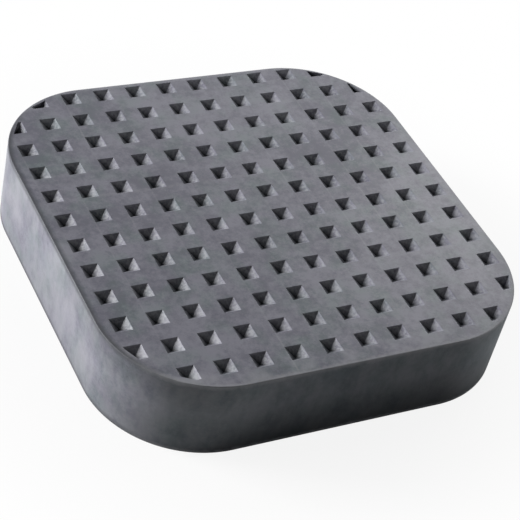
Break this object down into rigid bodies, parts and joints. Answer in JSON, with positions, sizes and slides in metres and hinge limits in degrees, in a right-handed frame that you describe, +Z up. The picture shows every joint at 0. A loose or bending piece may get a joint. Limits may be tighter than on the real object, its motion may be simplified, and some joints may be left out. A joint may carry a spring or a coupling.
{
  "type": "jack rubber pad",
  "caption": "Square block of solid rubber with rounded corners and a grid of small pyramid pits on its top face, laid on a jack or lift to protect what it raises.",
  "frame": {"origin": "centre of the flat underside", "axes": "+Z up out of the pitted top face, through the thickness; +X and +Y along the rows of pits"},
  "size_m": [0.12, 0.12, 0.024],
  "materials": {
    "black_rubber": "matt moulded rubber"
  },
  "bodies": {
    "root": {"rubber_pad": "black_rubber"}
  },
  "joints": []
}
